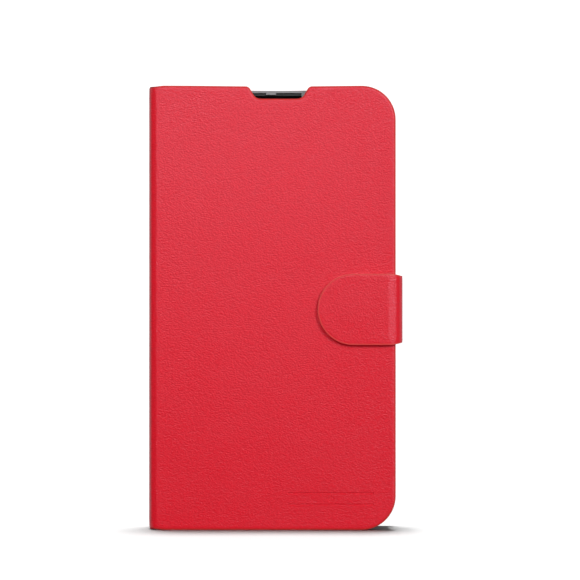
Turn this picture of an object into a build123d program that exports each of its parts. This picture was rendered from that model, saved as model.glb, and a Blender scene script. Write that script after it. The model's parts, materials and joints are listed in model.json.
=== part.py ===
from build123d import *
import os

# A book-style flip wallet case for a large phone, closed and standing on its bottom edge.
# +Z is up the case, +X is its width with the spine at -X, and -Y is the outside of the front
# cover. The origin is the bottom centre of the whole case's box. Units are millimetres.

# ---------------------------------------------------------------- driving dimensions
HEIGHT = 170.0              # covers, bottom edge to top edge
COVER_WIDTH = 94.5          # outside of the spine to the free edge of the covers
STRAP_STAND_OFF = 2.7       # how far the strap stands beyond the free edge
CORNER_RADIUS = 13.0        # free corners of both covers

SKIN = 0.8                  # leatherette outer sheet
BOARD = 1.0                 # fibreboard inside the covers and the spine
LINING = 0.4                # suedette inner sheet
POCKET = 0.4                # one pocket sheet
BOARD_INSET = 1.0           # margin between a board and the edge of its skin
POCKET_CLEARANCE = 0.7      # pockets to the holder when the case is closed

BAY_WIDTH = 83.4            # space for the phone inside the holder
BAY_HEIGHT = 164.2
BAY_DEPTH = 9.0
TRAY_WALL = 1.0             # black holder, walls and floor
RIM_WALL = 0.8              # grey bumper round the holder
LIP_REACH = 3.0             # lip over the phone's edge, measured from the outside of the rim
LIP_THICKNESS = 1.0
TRAY_PAD = 0.3              # microfibre sheet on the holder's floor
TRAY_CENTRE_X = 0.5
TRAY_TOP_GAP = 1.7          # top of the rim below the top of the covers
TRAY_RADIUS = 11.0          # outer corners of the rim

CREASE_RADIUS = 2.6         # outside of the bend beside the spine
CREASE_FLAT = 1.2           # soft strip without board on each side of the bend
CREASE_RAISE = 0.4          # the bends end short of the bottom and top edges

STRAP_HEIGHT_Z = 84.4       # middle of the strap
TAB_WIDTH = 27.2
TAB_OVERLAP = 29.9          # how far the tab reaches over the front cover
STRAP_WIDTH = 25.6          # where it crosses the side of the case
STRAP = 1.0                 # thickness of the bare strap
STRAP_FLAT = 1.0            # soft strip on each side of the strap's bends
ANCHOR_LENGTH = 16.0        # strap root glued inside the back cover
TAB_SKIN = 0.6
TAB_CORE = 1.0
TAB_LINING = 0.4
TAB_GAP = 0.2               # tab's lining to the front skin
FILLER_MARGIN = 5.4         # the tab's filler stops this far short of the strap's bend
MAGNET_RADIUS = 6.0
KEEPER_RADIUS = 7.0
KEEPER_CLEARANCE = 0.1

NOTCH_TOP = 23.2            # earpiece notch in the top edge of the front cover
NOTCH_BOTTOM = 17.6
NOTCH_DEPTH = 4.8
NOTCH_CENTRE_X = 1.2
NOTCH_RADII = (2.0, 3.2)    # rounding of its upper and lower corners

CAMERA_WIDTH = 13.0         # upright slot-shaped window in the back
CAMERA_HEIGHT = 24.0
CAMERA_Z = 145.0
CAMERA_COLLAR = 0.8         # wall of the holder's collar that lines the window
COLLAR_CLEARANCE = 0.2

# ---------------------------------------------------------------- derived places
LEFT = -(COVER_WIDTH + STRAP_STAND_OFF) / 2
RIGHT = LEFT + COVER_WIDTH
STRAP_RIGHT = RIGHT + STRAP_STAND_OFF
TAB = TAB_SKIN + TAB_CORE + TAB_LINING
FRONT_PANEL = SKIN + BOARD + LINING
BACK_PANEL = SKIN + BOARD + LINING
POCKET_LAYERS = 4
DEPTH = (FRONT_PANEL + POCKET_LAYERS * POCKET + POCKET_CLEARANCE + LIP_THICKNESS + BAY_DEPTH
         + TRAY_PAD + TRAY_WALL + BACK_PANEL)
FRONT = -(DEPTH + TAB + TAB_GAP) / 2 + TAB + TAB_GAP    # outer face of the front skin
BACK = FRONT + DEPTH                                    # outer face of the back skin

SPINE_INSIDE = LEFT + SKIN + BOARD + LINING
COVER_LEFT = LEFT + CREASE_RADIUS + CREASE_FLAT         # where the flat covers begin
SPINE_FRONT = FRONT + CREASE_RADIUS + CREASE_FLAT
SPINE_BACK = BACK - CREASE_RADIUS - CREASE_FLAT

RIM_FRONT = FRONT + FRONT_PANEL + POCKET_LAYERS * POCKET + POCKET_CLEARANCE
BAY_FRONT = RIM_FRONT + LIP_THICKNESS
TRAY_FLOOR = BAY_FRONT + BAY_DEPTH + TRAY_PAD
TRAY_BACK = TRAY_FLOOR + TRAY_WALL
RIM_WIDTH = BAY_WIDTH + 2 * (TRAY_WALL + RIM_WALL)
RIM_HEIGHT = BAY_HEIGHT + 2 * (TRAY_WALL + RIM_WALL)
RIM_TOP = HEIGHT - TRAY_TOP_GAP
RIM_CENTRE_Z = RIM_TOP - RIM_HEIGHT / 2
BAY_MIDDLE_Y = BAY_FRONT + BAY_DEPTH / 2

TAB_BACK = FRONT - TAB_GAP                              # inner face of the strap's tab
TAB_FRONT = TAB_BACK - TAB
STRAP_BEND_RADIUS = STRAP_STAND_OFF                     # the bends start at the covers' edge
BEND_X = RIGHT
FRONT_BEND_Y = TAB_FRONT + STRAP_BEND_RADIUS
ANCHOR_BACK = BACK - SKIN
BACK_BEND_Y = ANCHOR_BACK - STRAP_BEND_RADIUS
TAB_LEFT = RIGHT - TAB_OVERLAP
MAGNET_X = TAB_LEFT + TAB_WIDTH / 2

JOINT_SPACE = 0.05          # between bodies that meet face to face at a joint


# ---------------------------------------------------------------- helpers
def slab(sketch, front, back):
    """A flat sketch drawn in X and Z, as a plate from y = front to y = back."""
    plane = Plane(origin=(0, back, 0), x_dir=(1, 0, 0), z_dir=(0, -1, 0))
    return extrude(plane * sketch, amount=back - front)


def column(sketch, bottom, top):
    """A sketch drawn in X and Y, as a prism from z = bottom to z = top."""
    return extrude(Plane(origin=(0, 0, bottom)) * sketch, amount=top - bottom)


def rectangle(x0, x1, z0, z1):
    return Pos((x0 + x1) / 2, (z0 + z1) / 2) * Rectangle(x1 - x0, z1 - z0)


def rounded(width, height, radius, x, z):
    return Pos(x, z) * RectangleRounded(width, height, radius)


def upright_slot(width, height, x, z):
    return Pos(x, z) * RectangleRounded(width, height, width / 2 - 0.01)


def cover_outline():
    """The flat part of a cover: square at the spine, round at the free edge."""
    outline = rectangle(COVER_LEFT, RIGHT, 0, HEIGHT)
    free_corners = outline.vertices().sort_by(Axis.X)[-2:]
    return fillet(free_corners, CORNER_RADIUS)


def front_outline():
    """The front cover, with the trapezoidal earpiece notch in its top edge."""
    floor_z = HEIGHT - NOTCH_DEPTH
    upper = [(NOTCH_CENTRE_X + side * NOTCH_TOP / 2, HEIGHT) for side in (-1, 1)]
    lower = [(NOTCH_CENTRE_X + side * NOTCH_BOTTOM / 2, floor_z) for side in (1, -1)]
    outline = cover_outline() - make_face(Polyline(*upper, *lower, close=True))
    for corners, radius in ((upper, NOTCH_RADII[0]), (lower, NOTCH_RADII[1])):
        for x, z in corners:
            corner = outline.vertices().sort_by_distance((x, z, 0))[0]
            outline = fillet(corner, radius)
    return outline


def camera_window(clearance):
    width = CAMERA_WIDTH + 2 * clearance
    height = CAMERA_HEIGHT + 2 * clearance
    return upright_slot(width, height, TRAY_CENTRE_X, CAMERA_Z)


def bend_section(centre, side, radius, thickness, flat):
    """A sheet bent through 90 degrees, with a flat strip at each end, seen from above.

    side is the outward direction of the bend from its centre, such as (-1, -1).
    """
    reach = radius + flat + 1
    ring = Circle(radius) - Circle(radius - thickness)
    section = ring & Pos(side[0] * reach / 2, side[1] * reach / 2) * Rectangle(reach, reach)
    if flat:
        across = side[1] * (radius - thickness / 2)
        section += Pos(-side[0] * flat / 2, across) * Rectangle(flat, thickness)
        across = side[0] * (radius - thickness / 2)
        section += Pos(across, -side[1] * flat / 2) * Rectangle(thickness, flat)
    return Pos(*centre) * section


def save(shape, node):
    export_step(shape, f"parts/{node}.step")


# ---------------------------------------------------------------- front cover
ORNAMENT_X = 21.0           # pressed ornament near the bottom free corner
ORNAMENT_Z = 11.8
ORNAMENT_LENGTH = 33.0
ORNAMENT_SPREAD = 4.4       # between its two pressed lines
ORNAMENT_LINE = 0.7
ORNAMENT_LOZENGE = 3.0
ORNAMENT_DEPTH = 0.25


def pressed_ornament():
    """Two fine lines with a lozenge between them."""
    sketch = Pos(ORNAMENT_X, ORNAMENT_Z) * Rot(0, 0, 45) * Rectangle(
        ORNAMENT_LOZENGE / 2 ** 0.5, ORNAMENT_LOZENGE / 2 ** 0.5)
    for side in (-1, 1):
        line = SlotOverall(ORNAMENT_LENGTH, ORNAMENT_LINE)
        sketch += Pos(ORNAMENT_X, ORNAMENT_Z + side * ORNAMENT_SPREAD / 2) * line
    return slab(sketch, FRONT - 1, FRONT + ORNAMENT_DEPTH)


def make_front_cover():
    outline = front_outline()
    save(slab(outline, FRONT, FRONT + SKIN) - pressed_ornament(), "front_skin")
    keeper_place = Pos(MAGNET_X, STRAP_HEIGHT_Z)
    board = offset(outline, -BOARD_INSET) - keeper_place * Circle(KEEPER_RADIUS + KEEPER_CLEARANCE)
    board_back = FRONT + SKIN + BOARD
    save(slab(board, FRONT + SKIN, board_back), "front_board")
    save(slab(keeper_place * Circle(KEEPER_RADIUS), FRONT + SKIN, board_back), "front_keeper")
    save(slab(outline, board_back, board_back + LINING), "front_lining")


# ---------------------------------------------------------------- pockets
POCKET_LEFT = COVER_LEFT + 0.6
POCKET_RIGHT = RIGHT - 1.2
POCKET_BOTTOM = 2.5
POCKET_RADIUS = CORNER_RADIUS - 1.2
CASH_TOP = 152.0
CARD_TOPS = {"top": 136.0, "middle": 121.0, "bottom": 106.0}
CARD_SLOT_DEPTH = 56.0      # a card is 54 mm deep
THUMB_DIP = 9.0             # half width of the curved dip in each card slot's mouth
THUMB_DEPTH = 2.4

STITCH_LENGTH = 2.2
STITCH_PITCH = 3.2
STITCH_WIDTH = 0.5
STITCH_RISE = 0.2
STITCH_INSET = 1.3


def pocket_sheet(bottom, top, thumb_dip):
    """A pocket sheet, following the cover's round corner where it reaches the bottom."""
    sheet = rectangle(POCKET_LEFT, POCKET_RIGHT, bottom, top)
    if bottom == POCKET_BOTTOM:
        corner = sheet.vertices().sort_by_distance((POCKET_RIGHT, bottom, 0))[0]
        sheet = fillet(corner, POCKET_RADIUS)
    if thumb_dip:
        radius = (THUMB_DIP ** 2 + THUMB_DEPTH ** 2) / (2 * THUMB_DEPTH)
        middle = (POCKET_LEFT + POCKET_RIGHT) / 2
        sheet -= Pos(middle, top + radius - THUMB_DEPTH) * Circle(radius)
    return sheet


def pocket_surface(z):
    """The y of the outermost pocket sheet at height z."""
    layers = 1 + sum(z < top for top in CARD_TOPS.values())
    return FRONT + FRONT_PANEL + layers * POCKET


def stitch_block(x, z, upright):
    size = (STITCH_WIDTH, STITCH_LENGTH) if upright else (STITCH_LENGTH, STITCH_WIDTH)
    surface = pocket_surface(z + STITCH_LENGTH / 2)
    return slab(Pos(x, z) * Rectangle(*size), surface, surface + STITCH_RISE)


def make_stitching():
    """Straight rows of stitches up both sides and along the bottom of the pockets."""
    stitches = []
    mouths = [*CARD_TOPS.values(), CASH_TOP]
    first_z = POCKET_BOTTOM + POCKET_RADIUS
    count = int((CASH_TOP - 2 - first_z) // STITCH_PITCH)
    for row in range(count + 1):
        z = first_z + row * STITCH_PITCH
        if any(abs(z - mouth) < STITCH_LENGTH for mouth in mouths):
            continue
        for x in (POCKET_LEFT + STITCH_INSET, POCKET_RIGHT - STITCH_INSET):
            stitches.append(stitch_block(x, z, True))
    first_x = POCKET_LEFT + STITCH_INSET + STITCH_PITCH
    count = int((POCKET_RIGHT - POCKET_RADIUS - first_x) // STITCH_PITCH)
    for column_index in range(count + 1):
        x = first_x + column_index * STITCH_PITCH
        stitches.append(stitch_block(x, POCKET_BOTTOM + STITCH_INSET, False))
    return Compound(children=stitches)


def make_pockets():
    front = FRONT + FRONT_PANEL
    save(slab(pocket_sheet(POCKET_BOTTOM, CASH_TOP, False), front, front + POCKET), "cash_pocket")
    for place, (name, top) in enumerate(CARD_TOPS.items(), start=1):
        bottom = top - CARD_SLOT_DEPTH if name != "bottom" else POCKET_BOTTOM
        sheet = slab(pocket_sheet(bottom, top, True), front + place * POCKET,
                     front + (place + 1) * POCKET)
        save(sheet, f"card_pocket_{name}")
    save(make_stitching(), "pocket_stitching")


# ---------------------------------------------------------------- spine
def make_spine():
    layers = {"spine_skin": (LEFT, LEFT + SKIN),
              "spine_stiffener": (LEFT + SKIN, LEFT + SKIN + BOARD),
              "spine_lining": (LEFT + SKIN + BOARD, SPINE_INSIDE)}
    for node, (x0, x1) in layers.items():
        inset = BOARD_INSET if node == "spine_stiffener" else 0
        front = SPINE_FRONT + JOINT_SPACE
        back = SPINE_BACK - JOINT_SPACE
        section = Pos((x0 + x1) / 2, (front + back) / 2) * Rectangle(x1 - x0, back - front)
        save(column(section, CREASE_RAISE + inset, HEIGHT - CREASE_RAISE - inset), node)
    front_centre = (LEFT + CREASE_RADIUS, FRONT + CREASE_RADIUS)
    back_centre = (LEFT + CREASE_RADIUS, BACK - CREASE_RADIUS)
    inner_radius = CREASE_RADIUS - SKIN - BOARD
    flat = CREASE_FLAT - JOINT_SPACE
    for name, centre, side in (("front", front_centre, (-1, -1)), ("back", back_centre, (-1, 1))):
        skin = bend_section(centre, side, CREASE_RADIUS, SKIN, flat)
        lining = bend_section(centre, side, inner_radius, LINING, flat)
        for node, section in ((f"{name}_crease", skin), (f"{name}_crease_lining", lining)):
            save(column(section, CREASE_RAISE, HEIGHT - CREASE_RAISE), node)


# ---------------------------------------------------------------- back cover
def make_back_cover():
    window = camera_window(CAMERA_COLLAR + COLLAR_CLEARANCE)
    outline = cover_outline()
    board_front = BACK - SKIN - BOARD
    save(slab(outline - window, BACK - SKIN, BACK), "back_skin")
    anchor_space = rectangle(BEND_X - ANCHOR_LENGTH - KEEPER_CLEARANCE, RIGHT,
                             STRAP_HEIGHT_Z - STRAP_WIDTH / 2 - KEEPER_CLEARANCE,
                             STRAP_HEIGHT_Z + STRAP_WIDTH / 2 + KEEPER_CLEARANCE)
    board = offset(outline, -BOARD_INSET) - window - anchor_space
    save(slab(board, board_front, BACK - SKIN), "back_board")
    save(slab(outline - window, board_front - LINING, board_front), "back_lining")


# ---------------------------------------------------------------- phone holder
RELIEF = (-9.0, 9.9)        # gap in the top lip, over the earpiece
TOP_TAB_X = -1.8            # small retaining tab in that gap
TOP_TAB_WIDTH = 3.8
TOP_TAB_REACH = 1.5

PORT_WIDTH = 15.0           # cut-outs in the holder's walls
PORT_DEPTH = 6.5
SPEAKER_WIDTH = 11.0
SPEAKER_X = 21.0
JACK_WIDTH = 7.5
JACK_X = -27.0
KEY_DEPTH = 5.0
POWER_KEY_Z = 118.0
POWER_KEY_LENGTH = 15.0
VOLUME_KEY_Z = 128.0
VOLUME_KEY_LENGTH = 27.0


def tray_outline(inset):
    return rounded(RIM_WIDTH - 2 * inset, RIM_HEIGHT - 2 * inset, TRAY_RADIUS - inset,
                   TRAY_CENTRE_X, RIM_CENTRE_Z)


def wall_cutouts():
    """Slots through the holder's walls for the port, speaker, jack and side keys."""
    wall = 4 * TRAY_WALL
    radius = 1.5
    rim_bottom = RIM_TOP - RIM_HEIGHT
    cuts = []
    ends = ((TRAY_CENTRE_X, rim_bottom, PORT_WIDTH), (SPEAKER_X, rim_bottom, SPEAKER_WIDTH),
            (JACK_X, RIM_TOP, JACK_WIDTH))
    for x, z, width in ends:
        slot = RectangleRounded(width, PORT_DEPTH, radius)
        cuts.append(extrude(Plane.XY.offset(z) * Pos(x, BAY_MIDDLE_Y) * slot, wall, both=True))
    sides = ((1, POWER_KEY_Z, POWER_KEY_LENGTH), (-1, VOLUME_KEY_Z, VOLUME_KEY_LENGTH))
    for side, z, length in sides:
        edge_x = TRAY_CENTRE_X + side * RIM_WIDTH / 2
        slot = RectangleRounded(KEY_DEPTH, length, radius)
        cuts.append(extrude(Plane.YZ.offset(edge_x) * Pos(BAY_MIDDLE_Y, z) * slot, wall, both=True))
    return cuts


def make_holder():
    window = camera_window(0)
    collar = camera_window(CAMERA_COLLAR) - window
    rim_space = tray_outline(RIM_WALL)
    bay = tray_outline(RIM_WALL + TRAY_WALL)
    floor = slab(tray_outline(0) - window, TRAY_FLOOR, TRAY_BACK)
    walls = slab(rim_space - bay, BAY_FRONT, TRAY_FLOOR)
    tray = floor + walls + slab(collar, TRAY_BACK, BACK)
    rim = slab(tray_outline(0) - rim_space, RIM_FRONT, TRAY_FLOOR)
    rim += slab(tray_outline(0) - lip_opening(), RIM_FRONT, BAY_FRONT)
    for cut in wall_cutouts():
        tray -= cut
        rim -= cut
    save(tray, "phone_tray")
    save(rim, "tray_rim")
    pad_window = camera_window(CAMERA_COLLAR)
    save(slab(tray_outline(RIM_WALL + TRAY_WALL + 0.2) - pad_window,
              TRAY_FLOOR - TRAY_PAD, TRAY_FLOOR), "tray_pad")


def lip_opening():
    """The holder's mouth: the lip's inner edge, the gap at its top and the tab in the gap."""
    mouth = tray_outline(LIP_REACH)
    relief = rectangle(*RELIEF, RIM_TOP - LIP_REACH - TRAY_RADIUS, RIM_TOP - RIM_WALL)
    tab = rectangle(TOP_TAB_X - TOP_TAB_WIDTH / 2, TOP_TAB_X + TOP_TAB_WIDTH / 2,
                    RIM_TOP - TOP_TAB_REACH, RIM_TOP)
    return mouth + relief - tab


# ---------------------------------------------------------------- strap
def strap_band(x0, x1, width):
    half = width / 2
    return rectangle(x0, x1, STRAP_HEIGHT_Z - half, STRAP_HEIGHT_Z + half)


def tab_outline():
    """The D-shaped free end of the strap."""
    radius = TAB_WIDTH / 2
    straight = strap_band(TAB_LEFT + radius, BEND_X - STRAP_FLAT, TAB_WIDTH)
    return straight + Pos(TAB_LEFT + radius, STRAP_HEIGHT_Z) * Circle(radius)


def make_strap():
    bottom = STRAP_HEIGHT_Z - STRAP_WIDTH / 2
    top = STRAP_HEIGHT_Z + STRAP_WIDTH / 2
    anchor = strap_band(BEND_X - ANCHOR_LENGTH, BEND_X, STRAP_WIDTH)
    save(slab(anchor, ANCHOR_BACK - STRAP, ANCHOR_BACK), "strap_anchor")

    back_bend = bend_section((BEND_X, BACK_BEND_Y), (1, 1), STRAP_BEND_RADIUS, STRAP, STRAP_FLAT)
    keep_right = Pos(BEND_X + 50, BACK_BEND_Y) * Rectangle(100, 100)
    save(column(back_bend & keep_right, bottom, top), "strap_back_bend")

    front = FRONT_BEND_Y + STRAP_FLAT + JOINT_SPACE
    back = BACK_BEND_Y - STRAP_FLAT - JOINT_SPACE
    side = Pos(STRAP_RIGHT - STRAP / 2, (front + back) / 2) * Rectangle(STRAP, back - front)
    save(column(side, bottom, top), "strap_side")

    front_bend = bend_section((BEND_X, FRONT_BEND_Y), (1, -1), STRAP_BEND_RADIUS, STRAP,
                              STRAP_FLAT - JOINT_SPACE)
    save(column(front_bend, bottom, top), "strap_front_bend")

    outline = tab_outline()
    core_front = TAB_FRONT + TAB_SKIN
    core_back = core_front + TAB_CORE
    magnet_place = Pos(MAGNET_X, STRAP_HEIGHT_Z)
    stiff = offset(outline, -BOARD_INSET) & strap_band(TAB_LEFT, BEND_X - FILLER_MARGIN, TAB_WIDTH)
    filler = stiff - magnet_place * Circle(MAGNET_RADIUS + KEEPER_CLEARANCE)
    save(slab(outline, TAB_FRONT, core_front), "strap_tab")
    save(slab(filler, core_front, core_back), "strap_filler")
    save(slab(magnet_place * Circle(MAGNET_RADIUS), core_front, core_back), "strap_magnet")
    save(slab(outline, core_back, TAB_BACK), "strap_tab_lining")


os.makedirs("parts", exist_ok=True)
make_front_cover()
make_pockets()
make_spine()
make_back_cover()
make_holder()
make_strap()
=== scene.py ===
import json
import math

import bmesh
import bpy
import numpy as np
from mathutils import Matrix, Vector, noise
from mathutils.geometry import delaunay_2d_cdt


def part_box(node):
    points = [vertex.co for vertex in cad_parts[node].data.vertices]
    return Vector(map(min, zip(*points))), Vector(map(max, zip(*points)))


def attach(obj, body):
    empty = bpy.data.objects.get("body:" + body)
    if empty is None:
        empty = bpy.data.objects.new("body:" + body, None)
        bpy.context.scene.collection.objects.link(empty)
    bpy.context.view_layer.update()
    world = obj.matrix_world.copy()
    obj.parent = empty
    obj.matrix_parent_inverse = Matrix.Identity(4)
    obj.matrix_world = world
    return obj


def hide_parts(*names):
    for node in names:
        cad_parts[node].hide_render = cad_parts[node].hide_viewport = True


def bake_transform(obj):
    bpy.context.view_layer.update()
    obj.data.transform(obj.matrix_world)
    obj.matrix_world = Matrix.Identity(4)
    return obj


# A red flip wallet case. Every sheet is cut flat, in u (along its route round the case) and
# v (up the case), given its edges and surface there, and then laid along its route.
# Lengths in this script are millimetres until a mesh is made; Blender's are metres.

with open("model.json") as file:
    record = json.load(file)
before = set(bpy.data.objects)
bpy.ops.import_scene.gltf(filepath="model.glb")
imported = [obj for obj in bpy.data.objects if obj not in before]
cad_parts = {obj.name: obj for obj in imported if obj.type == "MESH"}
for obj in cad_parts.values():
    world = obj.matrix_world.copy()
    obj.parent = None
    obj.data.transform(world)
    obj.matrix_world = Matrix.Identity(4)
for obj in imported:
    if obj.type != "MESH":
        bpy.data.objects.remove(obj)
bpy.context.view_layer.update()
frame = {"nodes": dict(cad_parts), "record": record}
MM = 0.001


# ---------------------------------------------------------------- places from the frame
def corners_mm(node):
    low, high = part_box(node)
    return Vector(low) / MM, Vector(high) / MM


def opening_centre(name):
    box = next(o["box_m"] for o in frame["record"]["physics"]["openings"] if o["name"] == name)
    return (Vector(box[0]) + Vector(box[1])) / 2 / MM


FRONT = corners_mm("front_skin")[0].y
RIGHT, BACK, HEIGHT = corners_mm("back_skin")[1]
LEFT = corners_mm("spine_skin")[0].x
SPINE_LOW = corners_mm("spine_skin")[0].z
MIDDLE_Y = (FRONT + BACK) / 2
STRAP_RIGHT = corners_mm("strap_side")[1].x
TAB_LEFT, TAB_FRONT, TAB_LOW = corners_mm("strap_tab")[0]
TAB_HIGH = corners_mm("strap_tab")[1].z
TAB_BACK = corners_mm("strap_tab_lining")[1].y
STRAP_Z = (TAB_LOW + TAB_HIGH) / 2
STRAP_HALF = (corners_mm("strap_side")[1].z - corners_mm("strap_side")[0].z) / 2
ANCHOR_LEFT = corners_mm("strap_anchor")[0].x
ANCHOR_BACK = corners_mm("strap_anchor")[1].y
MAGNET_X = sum(c.x for c in corners_mm("strap_magnet")) / 2

SKIN = 0.8                  # leatherette outer sheet
LINING = 0.4
PANEL = 2.2                 # skin, board and lining
CREASE_RADIUS = 2.6         # outside of the bends beside the spine
COVER_CORNER = 13.0
STRAP_SKIN = 0.6
STRAP_LINING = 0.4
EDGE_PITCH = 2.0            # spacing of points along straight edges
MERGE_GAP = 0.12            # outline points closer than this become one
GRID_CLEARANCE = 0.5        # from the innermost edge loop to the first grid point
MARK_CLEARANCE = 0.4        # from a pressed shape's loops to the nearest grid point
SEAM_MARGIN = 4.0           # how far a sheet is cut past the seam before it is trimmed
RUN_OUT = 5.0               # how far a route runs on past the end of its sheet


# ---------------------------------------------------------------- routes, seen from above
def straight(start, end, step=0.5):
    count = max(2, math.ceil(math.dist(start, end) / step) + 1)
    return [tuple(p) for p in np.linspace(start, end, count)]


def quarter(centre, radius, start_deg, end_deg, count=28):
    angles = np.radians(np.linspace(start_deg, end_deg, count))
    return [(centre[0] + radius * math.cos(a), centre[1] + radius * math.sin(a)) for a in angles]


class Route:
    """A line seen from above that a flat sheet follows. u is the distance along it.

    depth is how far the line lies under the sheet's outer face, so that a bend keeps the
    length of the middle of the sheet. side is +1 if the outer face is to the right.
    """

    def __init__(self, points, side, depth, start_u):
        kept = [points[0]]
        for point in points[1:]:
            if math.dist(point, kept[-1]) > 1e-6:
                kept.append(point)
        self.points = np.array(kept)
        steps = np.linalg.norm(np.diff(self.points, axis=0), axis=1)
        self.along = start_u + np.concatenate([[0], np.cumsum(steps)])
        tangents = np.gradient(self.points, self.along, axis=0)
        tangents /= np.linalg.norm(tangents, axis=1)[:, None]
        self.normals = side * np.stack([tangents[:, 1], -tangents[:, 0]], axis=1)
        self.depth = depth

    def place(self, u, v, h):
        raised = h + self.depth
        x, y, nx, ny = (np.interp(u, self.along, values) for values in
                        (*self.points.T, *self.normals.T))
        return np.stack([x + nx * raised, y + ny * raised, v], axis=1)

    def u_at_x(self, x):
        """The u of a place on the route's last, straight run."""
        return self.along[-1] - abs(self.points[-1, 0] - x)


def cover_route(face, direction):
    """From the middle of the spine, round the bend and across a cover, a little past its edge."""
    depth = SKIN / 2
    spine_x = LEFT + depth
    centre = (LEFT + CREASE_RADIUS, face - direction * CREASE_RADIUS)
    radius = CREASE_RADIUS - depth
    start = (spine_x, MIDDLE_Y - direction * SEAM_MARGIN)
    bend = quarter(centre, radius, 180, 180 - direction * 90)
    run = straight(bend[-1], (RIGHT + RUN_OUT, face - direction * depth))
    side = -direction
    return Route(straight(start, bend[0]) + bend + run, side, depth, -SEAM_MARGIN)


FRONT_ROUTE = cover_route(FRONT, -1)
BACK_ROUTE = cover_route(BACK, 1)
BEND_START = MIDDLE_Y - FRONT - CREASE_RADIUS
BEND_END = BEND_START + (CREASE_RADIUS - SKIN / 2) * math.pi / 2


# ---------------------------------------------------------------- flat outlines
def outline(corners, pitch=EDGE_PITCH):
    """A closed, anticlockwise outline through (u, v, radius) corners, rounded, evenly cut."""
    count = len(corners)
    arcs = []
    for i, (u, v, radius) in enumerate(corners):
        here = Vector((u, v))
        inward = (here - Vector(corners[i - 1][:2])).normalized()
        outward = (Vector(corners[(i + 1) % count][:2]) - here).normalized()
        turn = math.atan2(inward.x * outward.y - inward.y * outward.x, inward.dot(outward))
        if radius == 0 or abs(turn) < 1e-6:
            arcs.append([here])
            continue
        start = here - inward * (radius * math.tan(abs(turn) / 2))
        side = math.copysign(1, turn)
        centre = start + Vector((-inward.y, inward.x)) * side * radius
        steps = max(3, math.ceil(abs(turn) / math.radians(6)), math.ceil(abs(turn) * radius / pitch))
        spoke = start - centre
        arc = []
        for k in range(steps + 1):
            a = turn * k / steps
            turned = (spoke.x * math.cos(a) - spoke.y * math.sin(a),
                      spoke.x * math.sin(a) + spoke.y * math.cos(a))
            arc.append(centre + Vector(turned))
        arcs.append(arc)
    points = []
    for i, arc in enumerate(arcs):
        points += arc
        gap = arcs[(i + 1) % count][0] - arc[-1]
        cuts = math.ceil(gap.length / pitch)
        points += [arc[-1] + gap * k / cuts for k in range(1, cuts)]
    kept = [points[0]]
    for point in points[1:]:
        if (point - kept[-1]).length > MERGE_GAP:
            kept.append(point)
    if (kept[0] - kept[-1]).length <= MERGE_GAP:
        kept.pop()
    return np.array(kept)


def slot(u, v, width, height):
    """An upright slot-shaped outline."""
    w, h, r = width / 2, height / 2, width / 2 - 0.01
    corners = [(u - w, v - h, r), (u + w, v - h, r), (u + w, v + h, r), (u - w, v + h, r)]
    return outline(corners, 1.0)


def inset(points, distance):
    """The outline moved inwards by distance, or outwards if it is negative."""
    after = np.roll(points, -1, axis=0) - points
    after /= np.linalg.norm(after, axis=1)[:, None]
    before = np.roll(after, 1, axis=0)
    normal = np.stack([-(after + before)[:, 1], (after + before)[:, 0]], axis=1)
    length = np.linalg.norm(normal, axis=1)[:, None]
    return points + distance * 2 * normal / length ** 2


def inside(points, ring):
    """Which points lie inside a closed ring."""
    x, y = points[:, 0][:, None], points[:, 1][:, None]
    ax, ay = ring[:, 0], ring[:, 1]
    bx, by = np.roll(ax, -1), np.roll(ay, -1)
    crosses = (ay > y) != (by > y)
    slope = (bx - ax) / np.where(by == ay, 1e-12, by - ay)
    return (np.sum(crosses & (x < ax + (y - ay) * slope), axis=1) % 2).astype(bool)


def spaced(*runs):
    """Grid positions: each run is (start, end, step)."""
    values = [np.linspace(a, b, max(2, math.ceil((b - a) / step) + 1)) for a, b, step in runs]
    return np.unique(np.round(np.concatenate(values), 4))


def smooth(x, low, high):
    t = np.clip((x - low) / (high - low), 0, 1)
    return t * t * (3 - 2 * t)


def ripple(u, v, size, seed):
    """Smooth seeded unevenness, about -1 to 1, with features of that size."""
    return np.array([noise.noise(Vector((a / size, b / size, seed))) for a, b in zip(u, v)])


# ---------------------------------------------------------------- sheets
FLAT = (2.0, 0.0, 0.0)      # a place away from every edge: its distance in and height changes


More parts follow.
